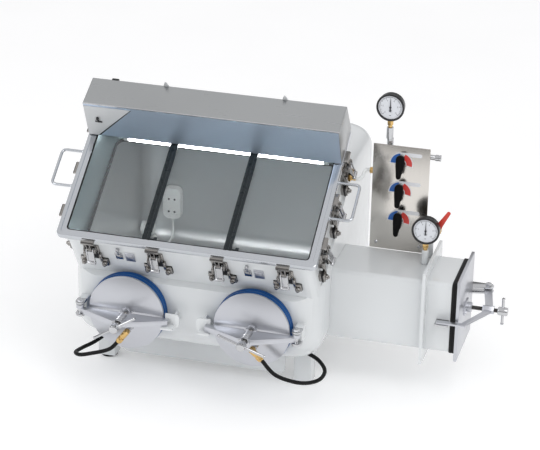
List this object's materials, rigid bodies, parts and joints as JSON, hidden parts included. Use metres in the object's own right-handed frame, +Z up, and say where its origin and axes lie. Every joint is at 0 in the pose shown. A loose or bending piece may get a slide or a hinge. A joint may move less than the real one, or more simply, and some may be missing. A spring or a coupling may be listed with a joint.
{
  "type": "laboratory glove box",
  "caption": "Bench vacuum glove box: sloping framed window with lamp hood and toggle latches, two screw-clamped port covers, side pass box with clamped door, gauge and valve panel.",
  "frame": {"origin": "middle of the footprint at the level of the feet, the two port hoses left out", "axes": "+X to the object's right as the user faces it (the pass box side), +Y away from the user, +Z up"},
  "size_m": [1.2518, 0.839, 0.807],
  "materials": {
    "white_paint": "gloss enamel on sheet steel",
    "steel": "polished stainless steel",
    "satin_steel": "satin stainless steel",
    "panel_steel": "mirror-polished stainless sheet, warm tint",
    "brass": "machined brass",
    "black_rubber": "matt black rubber",
    "black_plastic": "matt black moulded plastic",
    "black_paint": "black enamel",
    "blue_rubber": "blue silicone rubber",
    "red_coat": "red dipped vinyl",
    "glass": "clear plate glass",
    "white_plastic": "white moulded plastic",
    "clear_plastic": "clear flexible tubing",
    "lamp_white": "opal lamp tube"
  },
  "bodies": {
    "chamber": {"chamber_shell": "white_paint", "front_stand": "white_paint", "rear_stand": "white_paint", "window_frame": "steel", "window_glass": "glass", "window_gasket": "black_rubber", "mullion_left": "black_paint", "mullion_right": "black_paint", "lamp_hood": "satin_steel", "lamp_tube": "lamp_white", "port_band_left": "blue_rubber", "port_band_right": "blue_rubber", "port_hinge_left": "steel", "port_hinge_right": "steel", "port_hose_left": "black_rubber", "port_hose_right": "black_rubber", "pass_box_duct": "white_paint", "pass_box_flange": "white_paint", "pass_door_gasket": "black_rubber", "pass_door_hinge": "steel", "pass_door_rest": "steel", "gas_panel": "panel_steel", "gas_pipework": "steel", "gauge_top": "black_paint", "gauge_stem_top": "brass", "gauge_side": "black_paint", "gauge_stem_side": "brass", "vent_valve": "brass", "chamber_nozzle": "brass", "clear_line": "clear_plastic", "outlet_strip": "white_plastic", "cable_feedthrough": "white_plastic"},
    "port_left_arm": {"port_arm_left": "steel"},
    "port_left_cover": {"port_cover_left": "satin_steel", "port_elbow_left": "brass"},
    "port_left_screw": {"port_screw_left": "steel"},
    "port_right_arm": {"port_arm_right": "steel"},
    "port_right_cover": {"port_cover_right": "satin_steel", "port_elbow_right": "brass"},
    "port_right_screw": {"port_screw_right": "steel"},
    "pass_arm": {"pass_door_arm": "satin_steel"},
    "pass_door": {"pass_door": "satin_steel"},
    "pass_screw": {"pass_door_screw": "steel"},
    "inner_door": {"inner_door": "satin_steel"},
    "latch_sill_1": {"latch_lever_sill_1": "steel"},
    "latch_sill_2": {"latch_lever_sill_2": "steel"},
    "latch_sill_3": {"latch_lever_sill_3": "steel"},
    "latch_sill_4": {"latch_lever_sill_4": "steel"},
    "latch_left_1": {"latch_lever_left_1": "steel"},
    "latch_left_2": {"latch_lever_left_2": "steel"},
    "latch_left_3": {"latch_lever_left_3": "steel"},
    "latch_right_1": {"latch_lever_right_1": "steel"},
    "latch_right_2": {"latch_lever_right_2": "steel"},
    "latch_right_3": {"latch_lever_right_3": "steel"},
    "cock_1": {"cock_handle_1": "black_plastic"},
    "cock_2": {"cock_handle_2": "black_plastic"},
    "cock_3": {"cock_handle_3": "black_plastic"},
    "vent_lever": {"vent_lever": "red_coat"},
    "needle_top": {"gauge_needle_top": "black_paint"},
    "needle_side": {"gauge_needle_side": "black_paint"}
  },
  "joints": [
    {"name": "port_left_arm_hinge", "type": "hinge", "parent": "chamber", "child": "port_left_arm", "pos_m": [-0.50505, -0.3175, 0.225], "axis": [0, 0, -1], "range_deg": [0, 105], "deforming": ["port_hose_left"]},
    {"name": "port_left_cover_slide", "type": "slide", "parent": "port_left_arm", "child": "port_left_cover", "axis": [0, -1, 0], "range_m": [0, 0.006]},
    {"name": "port_left_screw_turn", "type": "hinge", "parent": "port_left_cover", "child": "port_left_screw", "pos_m": [-0.37705, -0.3555, 0.225], "axis": [0, -1, 0], "range_deg": [0, 721]},
    {"name": "port_right_arm_hinge", "type": "hinge", "parent": "chamber", "child": "port_right_arm", "pos_m": [0.10495, -0.3175, 0.225], "axis": [0, 0, 1], "range_deg": [0, 105], "deforming": ["port_hose_right"]},
    {"name": "port_right_cover_slide", "type": "slide", "parent": "port_right_arm", "child": "port_right_cover", "axis": [0, -1, 0], "range_m": [0, 0.006]},
    {"name": "port_right_screw_turn", "type": "hinge", "parent": "port_right_cover", "child": "port_right_screw", "pos_m": [-0.02305, -0.3555, 0.225], "axis": [0, -1, 0], "range_deg": [0, 721]},
    {"name": "pass_arm_hinge", "type": "hinge", "parent": "chamber", "child": "pass_arm", "pos_m": [0.54895, 0.0995, 0.248], "axis": [0, 0, 1], "range_deg": [0, 105]},
    {"name": "pass_door_slide", "type": "slide", "parent": "pass_arm", "child": "pass_door", "axis": [1, 0, 0], "range_m": [0, 0.006]},
    {"name": "pass_screw_turn", "type": "hinge", "parent": "pass_door", "child": "pass_screw", "pos_m": [0.57995, -0.0335, 0.248], "axis": [1, 0, 0], "range_deg": [0, 721]},
    {"name": "inner_door_hinge", "type": "hinge", "parent": "chamber", "child": "inner_door", "pos_m": [0.12195, 0.0745, 0.248], "axis": [0, 0, -1], "range_deg": [0, 90]},
    {"name": "latch_sill_1_hinge", "type": "hinge", "parent": "chamber", "child": "latch_sill_1", "pos_m": [-0.47005, -0.33057, 0.40909], "axis": [-1, 0, 0], "range_deg": [0, 90]},
    {"name": "latch_sill_2_hinge", "type": "hinge", "parent": "chamber", "child": "latch_sill_2", "pos_m": [-0.29005, -0.33057, 0.40909], "axis": [-1, 0, 0], "range_deg": [0, 90]},
    {"name": "latch_sill_3_hinge", "type": "hinge", "parent": "chamber", "child": "latch_sill_3", "pos_m": [-0.11005, -0.33057, 0.40909], "axis": [-1, 0, 0], "range_deg": [0, 90]},
    {"name": "latch_sill_4_hinge", "type": "hinge", "parent": "chamber", "child": "latch_sill_4", "pos_m": [0.06995, -0.33057, 0.40909], "axis": [-1, 0, 0], "range_deg": [0, 90]},
    {"name": "latch_left_1_hinge", "type": "hinge", "parent": "chamber", "child": "latch_left_1", "pos_m": [-0.56505, -0.25595, 0.45942], "axis": [0, 0.829, 0.5592], "range_deg": [0, 90]},
    {"name": "latch_left_2_hinge", "type": "hinge", "parent": "chamber", "child": "latch_left_2", "pos_m": [-0.56505, -0.13989, 0.53771], "axis": [0, 0.829, 0.5592], "range_deg": [0, 90]},
    {"name": "latch_left_3_hinge", "type": "hinge", "parent": "chamber", "child": "latch_left_3", "pos_m": [-0.56505, -0.02382, 0.61599], "axis": [0, 0.829, 0.5592], "range_deg": [0, 90]},
    {"name": "latch_right_1_hinge", "type": "hinge", "parent": "chamber", "child": "latch_right_1", "pos_m": [0.16495, -0.25595, 0.45942], "axis": [0, -0.829, -0.5592], "range_deg": [0, 90]},
    {"name": "latch_right_2_hinge", "type": "hinge", "parent": "chamber", "child": "latch_right_2", "pos_m": [0.16495, -0.13989, 0.53771], "axis": [0, -0.829, -0.5592], "range_deg": [0, 90]},
    {"name": "latch_right_3_hinge", "type": "hinge", "parent": "chamber", "child": "latch_right_3", "pos_m": [0.16495, -0.02382, 0.61599], "axis": [0, -0.829, -0.5592], "range_deg": [0, 90]},
    {"name": "cock_1_turn", "type": "hinge", "parent": "chamber", "child": "cock_1", "pos_m": [0.29495, 0.0285, 0.629], "axis": [0, 1, 0], "range_deg": [-90, 90]},
    {"name": "cock_2_turn", "type": "hinge", "parent": "chamber", "child": "cock_2", "pos_m": [0.29495, 0.0285, 0.544], "axis": [0, 1, 0], "range_deg": [-90, 90]},
    {"name": "cock_3_turn", "type": "hinge", "parent": "chamber", "child": "cock_3", "pos_m": [0.29495, 0.0285, 0.459], "axis": [0, 1, 0], "range_deg": [-90, 90]},
    {"name": "vent_lever_turn", "type": "hinge", "parent": "chamber", "child": "vent_lever", "pos_m": [0.40595, 0.0125, 0.44], "axis": [0, 1, 0], "range_deg": [0, 90]},
    {"name": "needle_top_turn", "type": "hinge", "parent": "chamber", "child": "needle_top", "pos_m": [0.25695, 0.0485, 0.768], "axis": [0, 1, 0], "range_deg": [-120, 120]},
    {"name": "needle_side_turn", "type": "hinge", "parent": "chamber", "child": "needle_side", "pos_m": [0.38595, -0.0315, 0.454], "axis": [0, 1, 0], "range_deg": [-120, 120]}
  ],
  "couplings": [
    {"joint": "port_left_screw_turn", "follows": "port_left_cover_slide", "rad_per_m": 2094.4},
    {"joint": "port_right_screw_turn", "follows": "port_right_cover_slide", "rad_per_m": 2094.4},
    {"joint": "pass_screw_turn", "follows": "pass_door_slide", "rad_per_m": 2094.4}
  ]
}
